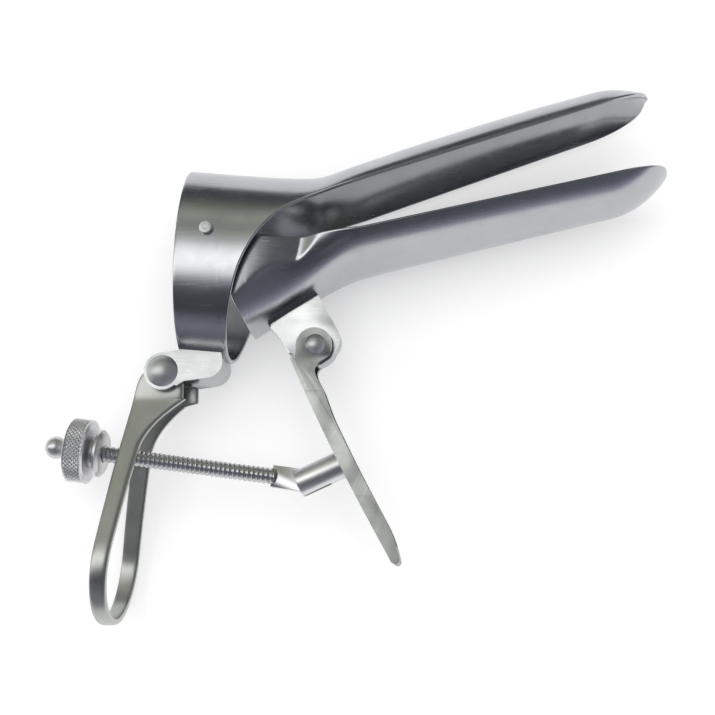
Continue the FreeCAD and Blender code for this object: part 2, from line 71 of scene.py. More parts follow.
bladeEnd = {"planLength": 17.0, "fullness": 2.4, "risePower": 0.8, "blunt": 0.09, "arch": 0.25}


def ease(start, end, x):
    t = min(1.0, max(0.0, (x - start) / (end - start)))
    return t * t * (3 - 2 * t)


def mix(low, high, t):
    return low + (high - low) * t


def smoothMax(a, b, softness):
    return (a + b + math.sqrt((a - b) ** 2 + softness ** 2)) / 2


def place(x, y, z):
    return Vector((x, y, z + midHeight)) * milli


def arcPoints(centre, radius, start, end, count):
    turns = [math.radians(mix(start, end, i / count)) for i in range(count + 1)]
    return [(centre[0] + radius * math.cos(a), centre[1] + radius * math.sin(a)) for a in turns]


def curvePoints(points, count, startTangent=None, endTangent=None):
    # A smooth line through the points: count steps between neighbours
    tangents = []
    for i in range(len(points)):
        before, after = points[max(0, i - 1)], points[min(len(points) - 1, i + 1)]
        tangents.append(Vector((after[0] - before[0], after[1] - before[1])))
    knots = [0.0]
    for a, b in zip(points, points[1:]):
        knots.append(knots[-1] + math.dist(a, b) ** 0.8)
    for i, tangent in enumerate(tangents):
        span = knots[min(len(knots) - 1, i + 1)] - knots[max(0, i - 1)]
        tangents[i] = tangent / span
    if startTangent:
        tangents[0] = Vector(startTangent).normalized() * tangents[0].length
    if endTangent:
        tangents[-1] = Vector(endTangent).normalized() * tangents[-1].length
    line = [tuple(points[0])]
    for i in range(len(points) - 1):
        span = knots[i + 1] - knots[i]
        p, q = Vector(points[i]), Vector(points[i + 1])
        for k in range(1, count + 1):
            t = k / count
            leave = (t ** 3 - 2 * t ** 2 + t) * span * tangents[i]
            arrive = (t ** 3 - t ** 2) * span * tangents[i + 1]
            spot = (2 * t ** 3 - 3 * t ** 2 + 1) * p + leave + (3 * t ** 2 - 2 * t ** 3) * q + arrive
            line.append(tuple(spot))
    return line


def heightAt(line, x):
    # Height of a line that runs to the right, at x
    for a, b in zip(line, line[1:]):
        if a[0] <= x <= b[0] and b[0] > a[0]:
            return mix(a[1], b[1], (x - a[0]) / (b[0] - a[0]))
    return line[0][1] if x < line[0][0] else line[-1][1]


# mesh helpers
def linkObject(name, mesh):
    piece = bpy.data.objects.new(name, mesh)
    bpy.context.scene.collection.objects.link(piece)
    return piece


def meshFrom(bm, name):
    bmesh.ops.recalc_face_normals(bm, faces=bm.faces)
    mesh = bpy.data.meshes.new(name)
    bm.to_mesh(mesh)
    bm.free()
    return mesh


def finishPiece(name, mesh, nodes, finish, sharpAngle=40):
    # Smooths, names and dresses a piece, and seats it on the body that carries its nodes
    for face in mesh.polygons:
        face.use_smooth = True
    if sharpAngle:
        mesh.set_sharp_from_angle(angle=math.radians(sharpAngle))
    piece = linkObject(name, mesh)
    mesh.materials.clear()
    mesh.materials.append(finish)
    body = next(b for b, group in frame["record"]["behaviour"]["bodies"].items() if nodes[0] in group)
    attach(piece, body)
    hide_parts(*nodes)


def thicken(bm, thickness, rimSteps=5, bulge=0.55):
    # Turns an open skin into a sheet with a rounded rim
    bm.normal_update()
    skin = list(bm.faces)
    normals = {v: v.normal.copy() for v in bm.verts}
    rimEdges = [e for e in bm.edges if e.is_boundary]
    outward = {}
    for edge in rimEdges:
        face = edge.link_faces[0]
        side = (edge.verts[1].co - edge.verts[0].co).cross(face.normal).normalized()
        if side.dot((edge.verts[0].co + edge.verts[1].co) / 2 - face.calc_center_median()) < 0:
            side = -side
        for v in edge.verts:
            outward[v] = outward.get(v, Vector()) + side
    inner = {v: bm.verts.new(v.co - normals[v] * thickness) for v in normals}
    for face in skin:
        bm.faces.new([inner[v] for v in reversed(face.verts)])
    lips = {}
    for v, side in outward.items():
        side = (side - side.dot(normals[v]) * normals[v]).normalized()
        middle = v.co - normals[v] * thickness / 2
        lip = [v]
        for k in range(1, rimSteps):
            turn = math.pi * k / rimSteps
            lip.append(bm.verts.new(middle + thickness / 2 * (math.cos(turn) * normals[v]
                                                              + bulge * math.sin(turn) * side)))
        lips[v] = lip + [inner[v]]
    for edge in rimEdges:
        a, b = lips[edge.verts[0]], lips[edge.verts[1]]
        for k in range(rimSteps):
            corners = [a[k], b[k], b[k + 1], a[k + 1]]
            if len(set(corners)) > 2:
                bm.faces.new(corners)


def lathe(points, origin, axis, steps=96, ripple=None):
    # Turned solid: points are (distance along the axis, radius) in mm from one end to the other
    bm = bmesh.new()
    turnTo = Vector((0, 0, 1)).rotation_difference(Vector(axis).normalized()).to_matrix()
    start = Vector(origin)
    rings = []
    for along, radius in points:
        if radius < 1e-4:
            rings.append([bm.verts.new((start + turnTo @ Vector((0, 0, along))) * milli)])
            continue
        ring = []
        for k in range(steps):
            turn = 2 * math.pi * k / steps
            r = radius + (ripple(along, turn, radius) if ripple else 0)
            spot = start + turnTo @ Vector((r * math.cos(turn), r * math.sin(turn), along))
            ring.append(bm.verts.new(spot * milli))
        rings.append(ring)
    for first, second in zip(rings, rings[1:]):
        for k in range(steps):
            corners = [first[k % len(first)], first[(k + 1) % len(first)],
                       second[(k + 1) % len(second)], second[k % len(second)]]
            corners = list(dict.fromkeys(corners))
            if len(corners) > 2:
                bm.faces.new(corners)
    for ring in (rings[0], rings[-1]):
        if len(ring) > 1 and points[0] != points[-1]:
            bm.faces.new(ring)
    if points[0] == points[-1]:
        bmesh.ops.remove_doubles(bm, verts=bm.verts, dist=1e-7)
    return bm


def joinRings(bm, rings):
    # Faces between neighbouring rings of equal count, and across the first and the last
    for first, second in zip(rings, rings[1:]):
        for k in range(len(first)):
            after = (k + 1) % len(first)
            bm.faces.new([first[k], first[after], second[after], second[k]])
    bm.faces.new(rings[0])
    bm.faces.new(rings[-1])


def plateMesh(outline, low, high, bevel=0.0, steps=3):
    # Outline in the side view, carried from low to high across the instrument
    bm = bmesh.new()
    bottom = [bm.verts.new(place(x, y, low)) for x, y in outline]
    top = [bm.verts.new(place(x, y, high)) for x, y in outline]
    bm.faces.new(bottom)
    bm.faces.new(top)
    count = len(outline)
    for i in range(count):
        bm.faces.new([bottom[i], bottom[(i + 1) % count], top[(i + 1) % count], top[i]])
    if bevel:
        levels = set(bottom), set(top)
        rim = [e for e in bm.edges if any(set(e.verts) <= level for level in levels)]
        bmesh.ops.bevel(bm, geom=rim, offset=bevel * milli, segments=steps, profile=0.5,
                        affect="EDGES", clamp_overlap=True)
    return bm


def carve(bm, cutters, name):
    # The first solid with the others taken away
    body = linkObject(name + "Blank", meshFrom(bm, name + "Blank"))
    tools = []
    for i, cutter in enumerate(cutters):
        tool = linkObject(f"{name}Tool{i}", meshFrom(cutter, f"{name}Tool{i}"))
        tools.append(tool)
        cut = body.modifiers.new("cut", "BOOLEAN")
        cut.object = tool
        cut.operation = "DIFFERENCE"
        cut.solver = "EXACT"
    graph = bpy.context.evaluated_depsgraph_get()
    mesh = bpy.data.meshes.new_from_object(body.evaluated_get(graph))
    mesh.name = name
    for piece in [body] + tools:
        bpy.data.objects.remove(piece)
    return mesh


def boxMesh(low, high):
    return plateMesh([(low[0], low[1]), (high[0], low[1]), (high[0], high[1]), (low[0], high[1])],
                     low[2], high[2])


# forms of the two pressed sheets
def bladeWidth(blade, x):
    share = (x - blade["root"]) / (blade["tip"] - blade["root"])
    return mix(blade["rootWidth"], blade["tipWidth"], share)


def planShare(blade, x):
    # Share of its full width that the rounded blade end has left, seen from above
    t = min(1.0, max(0.0, (x - blade["tip"]) / bladeEnd["planLength"] + 1))
    return (1 - t ** bladeEnd["fullness"]) ** (1 / bladeEnd["fullness"])


def edgeLine(blade, x):
    # Straight, then turning up as the end narrows
    lift = blade["lipRise"] * (1 - planShare(blade, x)) ** bladeEnd["risePower"]
    return blade["rootEdge"] + math.tan(blade["slope"]) * (x - blade["root"]) + lift


def tipScale(blade, x):
    t = min(1.0, max(0.0, (x - blade["tip"] + blade["tipLength"]) / blade["tipLength"]))
    return 1 - (1 - blade["tipFlat"]) * t * t


def archSection(blade, x, crown, side, start, t):
    # Centre and half axes of a section; side is 1 above the edge line and -1 below it
    edge = edgeLine(blade, x)
    height = side * (crown - edge) + blade["edgeTurn"]
    width = bladeWidth(blade, x) / math.sqrt(1 - (blade["edgeTurn"] / height) ** 2)
    halfHeight, halfWidth = mix(start[0], height, t), mix(start[1], width, t)
    flat = tipScale(blade, x)
    centre = edge + (crown - side * halfHeight - edge) * flat
    return centre, halfWidth * planShare(blade, x), halfHeight * flat


def upperSection(x):
    blade = upperBlade
    ahead = x - blade["root"]
    crown = blade["rootCrown"] + blade["crownSlope"] * ahead - blade["crownBend"] * ahead ** 2
    crown = smoothMax(collar["crown"] - collar["fall"] * x, crown, collar["crownBlend"])
    start = collar["halfHeight"], collar["halfWidth"]
    return archSection(blade, x, crown, 1, start, ease(collar["end"], blade["root"], x))


def lowerSection(x):
    blade = lowerBlade
    crown = -blade["rootCrown"] - blade["crownSlope"] * (x - blade["root"])
    crown = -smoothMax(blade["bowlDepth"] - blade["bowlSlope"] * x, crown, collar["crownBlend"])
    start = -crown, blade["bowlWidth"] - blade["bowlTaper"] * (x - blade["bowlEnd"])
    return archSection(blade, x, crown, -1, start, ease(blade["bowlEnd"], blade["root"], x))


def flattenEnd(blade, x, section, end, side):
    # The arch of a blade end gets flatter as it narrows, and keeps its crown and its lips
    centre, halfWidth, halfHeight = section
    crown = centre + side * halfHeight
    wide, deep = halfWidth * math.sin(end), halfHeight * (1 - math.cos(end))
    end *= mix(bladeEnd["arch"], 1, planShare(blade, x))
    halfHeight = deep / (1 - math.cos(end))
    return (crown - side * halfHeight, wide / math.sin(end), halfHeight), end


def cheekLimit(x, y):
    # Half width that the cheeks leave: slightly domed, then stepping out at the joggle
    radius = math.hypot(x, y)
    inside = min(radius, cheek["joggleStart"])
    top = cheek["halfWidth"] - inside ** 2 / (2 * cheek["dome"])
    top += cheek["step"] * ease(cheek["joggleStart"] - 0.8, cheek["joggleEnd"] + 0.8, radius)
    return top + 60 * max(0.0, (radius - cheek["joggleEnd"]) / 10) ** 2


def tipStations(blade, count):
    # Closer towards the tip, where a short blunt edge is left
    length = bladeEnd["planLength"]
    last = blade["tip"] - bladeEnd["blunt"]
    stations = [blade["tip"] - length + length * math.sin(math.pi / 2 * i / count) for i in range(count)]
    return [x for x in stations if x < last - bladeEnd["blunt"]] + [last]


def arcTurn(height, halfHeight):
    return math.acos(min(1.0, max(-1.0, height / halfHeight)))


def buildSkin(rows):
    # rows hold points from the seam to the edge of the near half; the far half mirrors them
    bm = bmesh.new()
    for side in (1, -1):
        grid = [[bm.verts.new(place(x, y, side * z)) for x, y, z in row] for row in rows]
        for first, second in zip(grid, grid[1:]):
            for j in range(len(first) - 1):
                corners = [first[j], first[j + 1], second[j + 1], second[j]]
                bm.faces.new(corners if side > 0 else corners[::-1])
    bmesh.ops.remove_doubles(bm, verts=bm.verts, dist=2e-6)
    bmesh.ops.dissolve_degenerate(bm, edges=bm.edges, dist=1e-6)
    bmesh.ops.recalc_face_normals(bm, faces=bm.faces)
    return bm


def outerValveSkin(columns=64):
    slope = math.tan(upperBlade["slope"])
    backX, notchX, root = collar["backX"], collar["notchX"], upperBlade["root"]
    low = upperSection(0)[0] - collar["halfHeight"] - 1
    joinX = notchX + collar["notchRun"]
    notch = curvePoints([(backX, low), (mix(backX, notchX, 0.22), -collar["notchLow"]),
                         (mix(backX, notchX, 0.5), -collar["notchMiddle"]), (notchX, 0),
                         (joinX, edgeLine(upperBlade, joinX) - collar["notchDip"]),
                         (root, edgeLine(upperBlade, root))], 12, (0.1, 1), (1, slope))
    stations = [(mix(collar["mouthX"], backX, i / 16), None) for i in range(16)]
    stations += notch
    tips = tipStations(upperBlade, 26)
    stations += [(mix(root, tips[0], i / 60), None) for i in range(1, 60)] + [(x, None) for x in tips]
    rows = []
    for x, cut in stations:
        section = upperSection(x)
        edge = cut if cut is not None else edgeLine(upperBlade, x)
        end = math.pi if x < backX else arcTurn(edge - section[0], section[2])
        if x > tips[0]:
            section, end = flattenEnd(upperBlade, x, section, end, 1)
        centre, halfWidth, halfHeight = section
        row = []
        for j in range(columns + 1):
            turn = end * j / columns
            y = centre + halfHeight * math.cos(turn)
            lean = math.tan(collar["mouthLean"]) * y * max(0.0, (backX - x) / (backX - collar["mouthX"]))
            row.append((x + lean, y, halfWidth * math.sin(turn)))
        rows.append(row)
    return buildSkin(rows)


def innerValveSkin(columns=64):
    ear = cheek["earRadius"]
    root = lowerBlade["root"]
    earStart, earEnd = [(ear * math.cos(a), ear * math.sin(a)) for a in (cheek["earFrom"], cheek["earTo"])]
    top, low = cheek["rimTop"], cheek["rimLow"]
    rim = curvePoints([earEnd, top, (mix(top[0], low[0], 0.55), cheek["rimMiddleY"]), low], 14)
    upper = curvePoints([(cheek["topX"], cheek["topY"]), (cheek["dipX"], cheek["topY"] - cheek["dip"]),
                         (cheek["endX"], cheek["topY"]), (root, edgeLine(lowerBlade, root))], 12)
    upper = [earStart] + upper
    underEar = [-ear * math.cos(math.pi * i / 36) for i in range(19)]
    stations = [x for x in underEar if x < earEnd[0] - 0.1] + [x for x, y in rim]
    stations += [mix(low[0], root, i / 44) for i in range(1, 45)]
    tips = tipStations(lowerBlade, 26)
    stations += [mix(root, tips[0], i / 60) for i in range(1, 60)] + tips
    stations[0] += 0.003
    rows = []
    for x in stations:
        section = lowerSection(x)
        if x < earStart[0]:
            high = math.sqrt(max(0.0, ear ** 2 - x ** 2))
        elif x < root:
            high = heightAt(upper, x)
        else:
            high = edgeLine(lowerBlade, x)
        under = -math.sqrt(max(0.0, ear ** 2 - x ** 2)) if x < earEnd[0] else heightAt(rim, x)
        end = arcTurn(section[0] - high, section[2])
        start = arcTurn(section[0] - under, section[2]) if x < low[0] else 0.0
        if x > tips[0]:
            section, end = flattenEnd(lowerBlade, x, section, end, -1)
        centre, halfWidth, halfHeight = section
        row = []
        for j in range(columns + 1):
            turn = mix(start, end, j / columns)
            y = centre - halfHeight * math.cos(turn)
            z = halfWidth * math.sin(turn)
            if x < cheek["reach"]:
                z = -smoothMax(-z, -cheekLimit(x, y), cheek["soften"])
            row.append((x, y, max(0.0, z)))
        rows.append(row)
    return buildSkin(rows)


def formSolid(section, stations, limit=None, around=128):
    # The filled form of a sheet, for cutting what is brazed to it
    bm = bmesh.new()
    rings = []
    for x in stations:
        centre, halfWidth, halfHeight = section(x)
        ring = []
        for k in range(around):
            turn = 2 * math.pi * k / around
            y, z = centre + halfHeight * math.cos(turn), halfWidth * math.sin(turn)
            if limit:
                side = 1 if z >= 0 else -1
                z = side * max(0.0, -smoothMax(-abs(z), -limit(x, y), cheek["soften"]))
            ring.append(bm.verts.new(place(x, y, z)))
        rings.append(ring)
    joinRings(bm, rings)
    return bm


# shader groups
def newGroup(name, inputs, outputs):
    group = bpy.data.node_groups.new(name, "ShaderNodeTree")
    for label, kind, value in inputs:
        socket = group.interface.new_socket(name=label, in_out="INPUT", socket_type=kind)
        if value is not None:
            socket.default_value = value
    for label, kind in outputs:
        group.interface.new_socket(name=label, in_out="OUTPUT", socket_type=kind)
    entry = group.nodes.new("NodeGroupInput")
    exitNode = group.nodes.new("NodeGroupOutput")
    return group, entry, exitNode


def addNode(tree, kind, links=(), values=None, **settings):
    # A node with its settings, the values of its inputs, and links as (input, output socket)
    node = tree.nodes.new("ShaderNode" + kind)
    for key, value in settings.items():
        setattr(node, key, value)
    for label, value in (values or {}).items():
        node.inputs[label].default_value = value
    for label, source in links:
        tree.links.new(source, node.inputs[label])
    return node


def mathNode(tree, operation, a, b=0.5, clamp=False):
    node = tree.nodes.new("ShaderNodeMath")
    node.operation = operation
    node.use_clamp = clamp
    for i, value in enumerate((a, b)):
        if isinstance(value, bpy.types.NodeSocket):
            tree.links.new(value, node.inputs[i])
        else:
            node.inputs[i].default_value = value
    return node.outputs[0]


def buildPolishLines():
    # Fine lines left by polishing, drawn out along one direction
    group, entry, out = newGroup("polishLines", [
        ("Vector", "NodeSocketVector", None), ("Across", "NodeSocketFloat", 2600.0),
        ("Along", "NodeSocketFloat", 60.0)], [("Lines", "NodeSocketFloat"), ("Patches", "NodeSocketFloat")])
    stretch = addNode(group, "CombineXYZ", [(0, entry.outputs["Along"]), (1, entry.outputs["Across"]),
                                            (2, entry.outputs["Across"])])
    scaled = addNode(group, "VectorMath", [(0, entry.outputs["Vector"]), (1, stretch.outputs[0])],
                     operation="MULTIPLY")
    fine = addNode(group, "TexNoise", [("Vector", scaled.outputs[0])],
                   {"Scale": 1.0, "Detail": 3.0, "Roughness": 0.65})
    coarse = addNode(group, "TexNoise", [("Vector", entry.outputs["Vector"])], {"Scale": 55.0, "Detail": 4.0})
    group.links.new(fine.outputs["Fac"], out.inputs["Lines"])
    group.links.new(coarse.outputs["Fac"], out.inputs["Patches"])
    return group


def buildHandlingMarks():
    # Sparse hairline scratches in crossing directions, and faint cloudy smears
    group, entry, out = newGroup("handlingMarks", [
        ("Vector", "NodeSocketVector", None), ("Scratches", "NodeSocketFloat", 0.5)],
        [("Marks", "NodeSocketFloat"), ("Smears", "NodeSocketFloat")])
    total = None
    for turn, size in ((0.35, 26.0), (-0.6, 34.0), (1.3, 22.0)):
        turned = addNode(group, "Mapping", [("Vector", entry.outputs["Vector"])], {
            "Rotation": (turn * 0.4, turn * 0.7, turn), "Scale": (size, size * 34, size * 34)})
        noise = addNode(group, "TexNoise", [("Vector", turned.outputs[0])], {"Scale": 1.0, "Detail": 1.0})
        peak = mathNode(group, "SUBTRACT", noise.outputs["Fac"], 0.69)
        peak = mathNode(group, "MULTIPLY", peak, 9.0, clamp=True)
        total = peak if total is None else mathNode(group, "MAXIMUM", total, peak)
    marks = mathNode(group, "MULTIPLY", total, entry.outputs["Scratches"])
    smear = addNode(group, "TexNoise", [("Vector", entry.outputs["Vector"])],
                    {"Scale": 90.0, "Detail": 5.0, "Distortion": 0.8})
    wide = mathNode(group, "SUBTRACT", smear.outputs["Fac"], 0.45)
    wide = mathNode(group, "MULTIPLY", wide, 3.0, clamp=True)
    group.links.new(marks, out.inputs["Marks"])
    group.links.new(wide, out.inputs["Smears"])
    return group


def buildEdgeWearAndCornerShade():
    # Brighter, smoother metal where edges are rubbed; painted shade darkening the corners
    group, entry, out = newGroup("edgeWearAndCornerShade", [("Reach", "NodeSocketFloat", 8.0)],
                                 [("Edges", "NodeSocketFloat"), ("CornerShade", "NodeSocketFloat")])
    shape = group.nodes.new("ShaderNodeNewGeometry")
    edge = mathNode(group, "SUBTRACT", shape.outputs["Pointiness"], 0.515)
    edge = mathNode(group, "MULTIPLY", edge, entry.outputs["Reach"], clamp=True)
    # painted shade: the hollow corners are made darker
    corner = mathNode(group, "SUBTRACT", 0.485, shape.outputs["Pointiness"])
    corner = mathNode(group, "MULTIPLY", corner, entry.outputs["Reach"], clamp=True)
    group.links.new(edge, out.inputs["Edges"])
    group.links.new(corner, out.inputs["CornerShade"])
    return group


polishLines = buildPolishLines()
handlingMarks = buildHandlingMarks()
edgeWearAndCornerShade = buildEdgeWearAndCornerShade()
screwLean = math.radians(8.4)

plainSteel = {"spread": 0.12, "scratches": 0.6, "bump": 0.05, "wave": 0.0, "turn": (0, 0, 0)}
stripLook = {"roughness": 0.34, "spread": 0.16, "across": 1700.0, "along": 90.0}
turnedLook = {"scratches": 0.3, "turn": (0, 0, screwLean)}
steelFinishes = {
    "sheetSteel": {"bright": (0.49, 0.50, 0.52), "dull": (0.38, 0.39, 0.41), "roughness": 0.21,
                   "across": 2400.0, "along": 70.0, "scratches": 0.5, "bump": 0.02},
    "forgedSteel": {"bright": (0.47, 0.48, 0.49), "dull": (0.36, 0.37, 0.38), "roughness": 0.28,
                    "across": 1500.0, "along": 200.0, "bump": 0.04, "wave": 0.5},
    "stripSteel": {**stripLook, "bright": (0.52, 0.53, 0.51), "dull": (0.40, 0.41, 0.39), "wave": 0.2,
                   "turn": (0, 0, math.radians(80))},
    "leverSteel": {**stripLook, "bright": (0.33, 0.34, 0.33), "dull": (0.22, 0.23, 0.22), "wave": 0.5,
                   "turn": (0, 0, math.radians(-63))},
    "rivetSteel": {"bright": (0.72, 0.73, 0.74), "dull": (0.58, 0.59, 0.60), "roughness": 0.46,
                   "across": 900.0, "along": 600.0, "scratches": 0.8, "bump": 0.04, "wave": 0.1},
    "turnedSteel": {**turnedLook, "bright": (0.74, 0.74, 0.75), "dull": (0.60, 0.60, 0.62), "roughness": 0.38,
                    "across": 120.0, "along": 5200.0, "scratches": 0.4},
    "threadSteel": {**turnedLook, "bright": (0.62, 0.62, 0.63), "dull": (0.40, 0.40, 0.41), "roughness": 0.26,
                    "spread": 0.14, "across": 900.0, "along": 900.0},
    "knurledSteel": {**turnedLook, "bright": (0.86, 0.86, 0.87), "dull": (0.62, 0.62, 0.64),
                     "roughness": 0.36, "spread": 0.14, "across": 1100.0, "along": 1100.0},
}
# how far each trace of use changes the tone, the roughness and the relief, and how dark the painted corner
# shade is
wearAndShade = {
    "patchTone": 0.5, "lineTone": 0.5, "smearTone": 0.18, "edgeTone": 0.6, "cornerShadeTone": 0.7,
    "smearRough": 0.07, "markRough": 0.15, "edgeRough": 0.06, "markDepth": 0.8,
}


def steelMaterial(name, look):
    material = bpy.data.materials.new(name)
    material.use_nodes = True
    tree = material.node_tree
    shader = tree.nodes["Principled BSDF"]
    shader.inputs["Metallic"].default_value = 1.0

    def part(source, label, weight):
        return mathNode(tree, "MULTIPLY", source.outputs[label], weight)

    spot = tree.nodes.new("ShaderNodeTexCoord").outputs["Object"]
    turned = addNode(tree, "Mapping", [("Vector", spot)], {"Rotation": look["turn"]})
    lines = addNode(tree, "Group", [("Vector", turned.outputs[0])],
                    {"Across": look["across"], "Along": look["along"]}, node_tree=polishLines)
    marks = addNode(tree, "Group", [("Vector", spot)], {"Scratches": look["scratches"]},
                    node_tree=handlingMarks)
    edges = addNode(tree, "Group", node_tree=edgeWearAndCornerShade)
    # colour: dull patches, brighter rubbed edges, painted shade darkening the corners
    tone = part(lines, "Patches", wearAndShade["patchTone"])
    tone = mathNode(tree, "ADD", tone, part(lines, "Lines", wearAndShade["lineTone"]))
    tone = mathNode(tree, "SUBTRACT", tone, part(marks, "Smears", wearAndShade["smearTone"]))
    tone = mathNode(tree, "ADD", tone, part(edges, "Edges", wearAndShade["edgeTone"]))
    # painted shade: the corners are darkened in the base colour
    tone = mathNode(tree, "SUBTRACT", tone, part(edges, "CornerShade", wearAndShade["cornerShadeTone"]), clamp=True)
    colour = addNode(tree, "Mix", [(0, tone)], {6: (*look["dull"], 1), 7: (*look["bright"], 1)},
                     data_type="RGBA")
    tree.links.new(colour.outputs[2], shader.inputs["Base Color"])
    # roughness: polishing lines and smears
    rough = mathNode(tree, "SUBTRACT", lines.outputs["Lines"], 0.5)
    rough = mathNode(tree, "MULTIPLY", rough, look["spread"])
    rough = mathNode(tree, "ADD", rough, look["roughness"])
    rough = mathNode(tree, "ADD", rough, part(marks, "Smears", wearAndShade["smearRough"]))
    rough = mathNode(tree, "ADD", rough, part(marks, "Marks", wearAndShade["markRough"]))
    rough = mathNode(tree, "SUBTRACT", rough, part(edges, "Edges", wearAndShade["edgeRough"]), clamp=True)
    tree.links.new(rough, shader.inputs["Roughness"])
    # relief: polishing lines, with the scratches cut into them
    relief = mathNode(tree, "SUBTRACT", lines.outputs["Lines"], part(marks, "Marks", wearAndShade["markDepth"]))
    bump = addNode(tree, "Bump", [("Height", relief)], {"Strength": look["bump"] * 4, "Distance": 0.00006})
    if look["wave"]:
        # hand finishing leaves the flats slightly wavy
        broad = addNode(tree, "TexNoise", [("Vector", spot)], {"Scale": 95.0, "Detail": 0.5})
        wave = addNode(tree, "Bump", [("Height", broad.outputs["Fac"])],
                       {"Strength": look["wave"], "Distance": 0.002})
        tree.links.new(wave.outputs[0], bump.inputs["Normal"])
    tree.links.new(bump.outputs[0], shader.inputs["Normal"])
    return material


steel = {name: steelMaterial(name, {**plainSteel, **look}) for name, look in steelFinishes.items()}
print("finishes ready:", len(steel))

# the two pressed sheets
for name, skin, node in (("outerValveSheet", outerValveSkin(), "outer_valve"),
                         ("innerValveSheet", innerValveSkin(), "inner_valve")):
    thicken(skin, sheetThickness * milli)
    finishPiece(name, meshFrom(skin, name), [node], steel["sheetSteel"], None)
collarForm = [-14, -8, -2, 2, 6, 10]
bowlForm = [-8, -2, 4, 9, 14, 18, 22, 26, 30, 34, 38, 42, 48]
print("valves ready")

# brackets
outerBracket = {
    "pin": (-15.0, -38.6), "eye": 5.5, "halfWidth": 6.7, "right": 2.7, "bottom": -41.0, "corner": 5.0,
    "root": -8.3, "heel": 0.4, "slot": 4.4, "bevel": 0.7, "leftX": -9.0, "rise": 2.2,
}


def outerBracketMesh():
    b = outerBracket
    eye = b["pin"]
    top = eye[1] + b["eye"]
    knee = (b["right"] - b["corner"], b["bottom"] + b["corner"])
    outline = arcPoints(eye, b["eye"], -45, -270, 48)
    outline += [(b["leftX"], top), (b["leftX"], top + b["rise"]), (b["right"], top + b["rise"])]
    outline += arcPoints(knee, b["corner"], 0, -90, 16)
    outline += [(b["root"] - b["heel"], b["bottom"])]
    block = plateMesh(outline, -b["halfWidth"], b["halfWidth"], b["bevel"], 4)
    slot = boxMesh((-40, eye[1] - 30, -b["slot"]), (b["root"], eye[1] + 30, b["slot"]))
    return carve(block, [slot, formSolid(upperSection, collarForm)], "outerBracketFork")


finishPiece("outerBracketFork", outerBracketMesh(), ["outer_bracket"], steel["forgedSteel"])

innerBracket = {
    "pin": (29.4, -31.3), "halfWidth": 2.5, "eye": 5.8, "shoulder": 6.9, "heelX": 21.9, "bevel": 0.45,
    "back": [(20.2, -31.0), (17.2, -27.0), (15.6, -25.4)],
    "front": [(29.6, -15.5), (32.1, -20.2), (35.6, -26.8)], "top": [(29.4, -14), (15.6, -14)],
}


def innerBracketMesh():
    b = innerBracket
    eye = b["pin"]
    bottom = arcPoints(eye, b["eye"], 205, 330, 30)
    left = curvePoints([(b["heelX"] - 0.3, bottom[0][1])] + b["back"], 8)
    right = curvePoints(b["front"] + [(eye[0] + b["shoulder"], eye[1] + 0.8), bottom[-1]], 8)
    outline = bottom + right[::-1][1:] + b["top"] + left[::-1]
    tongue = plateMesh(outline, -b["halfWidth"], b["halfWidth"], b["bevel"], 3)
    return carve(tongue, [formSolid(lowerSection, bowlForm, cheekLimit)], "innerBracketTongue")


finishPiece("innerBracketTongue", innerBracketMesh(), ["inner_bracket"], steel["forgedSteel"])
print("brackets ready")

# rivets and pins
rivets = {
    "valve": {"radius": 1.2, "head": 1.95, "top": 21.5, "base": 19.4, "inside": 15.9, "tail": 0.6},
    "loop": {"at": (-15.0, -38.6), "radius": 1.6, "head": 4.6, "height": 2.3, "half": 6.7},
    "lever": {"at": (29.4, -31.3), "radius": 1.3, "head": 3.0, "height": 1.7, "half": 4.6},
    "boss": {"radius": 1.1},
}


def domePoints(base, radius, height, steps=14):
    ball = (radius ** 2 + height ** 2) / (2 * height)
    full = math.asin(radius / ball)
    return [(base + height - ball + ball * math.cos(full * (1 - i / steps)),
             ball * math.sin(full * (1 - i / steps))) for i in range(steps + 1)]


def domedPinMesh(size):
    base, rim = size["half"] + 0.02, 0.12
    side = [(0, size["radius"]), (base, size["radius"]), (base, size["head"] - rim)]
    side += domePoints(size["half"] + rim, size["head"], size["height"] - rim)
    points = [(-a, r) for a, r in reversed(side)] + side[1:]
    return lathe(points, (*size["at"], midHeight), (0, 0, 1), 96)


def valveRivetMesh(side):
    # The head's face has a shallow turned ring
    r = rivets["valve"]
    base, head, top = r["base"], r["head"], r["top"]
    turns = [math.pi / 2 * i / 8 for i in range(1, 9)]
    points = [(r["inside"] - r["tail"], 0)]
    points += [(r["inside"] - r["tail"] * math.cos(a), head * math.sin(a)) for a in turns]
    points += [(r["inside"], r["radius"]), (base, r["radius"]), (base, head), (top - 0.35, head),
               (top - 0.12, head - 0.10), (top, head - 0.38), (top, 1.02), (top - 0.07, 0.96),
               (top - 0.07, 0.84), (top, 0.78), (top, 0)]
    return lathe(points, (0, 0, midHeight), (0, 0, side), 72)


for name, side in (("near", 1), ("far", -1)):
    finishPiece(f"valveRivet_{name}", meshFrom(valveRivetMesh(side), "valveRivet"), [f"valve_rivet_{name}"],
                steel["rivetSteel"])
for name in ("loop", "lever"):
    finishPiece(f"{name}PinDomed", meshFrom(domedPinMesh(rivets[name]), name + "Pin"), [name + "_pin"],
                steel["rivetSteel"])

# loop handle: one strip bent into a long teardrop
loop = {
    "pin": (-15.0, -38.6), "eye": 5.05, "leaf": 2.0, "outer": 4.2, "leafEnd": -46.5, "round": 17.0,
    "bottom": -110.95, "toeTop": -41.6, "toeNear": -9.35, "toeFar": -6.25, "stripX": -24.15,
    "sweep": 8.5, "width": 6.1, "endWidth": 4.7, "flare": 9.5, "eyeBack": (-19.8, 160),
    "leafBack": (-22.5, -40.2),
}


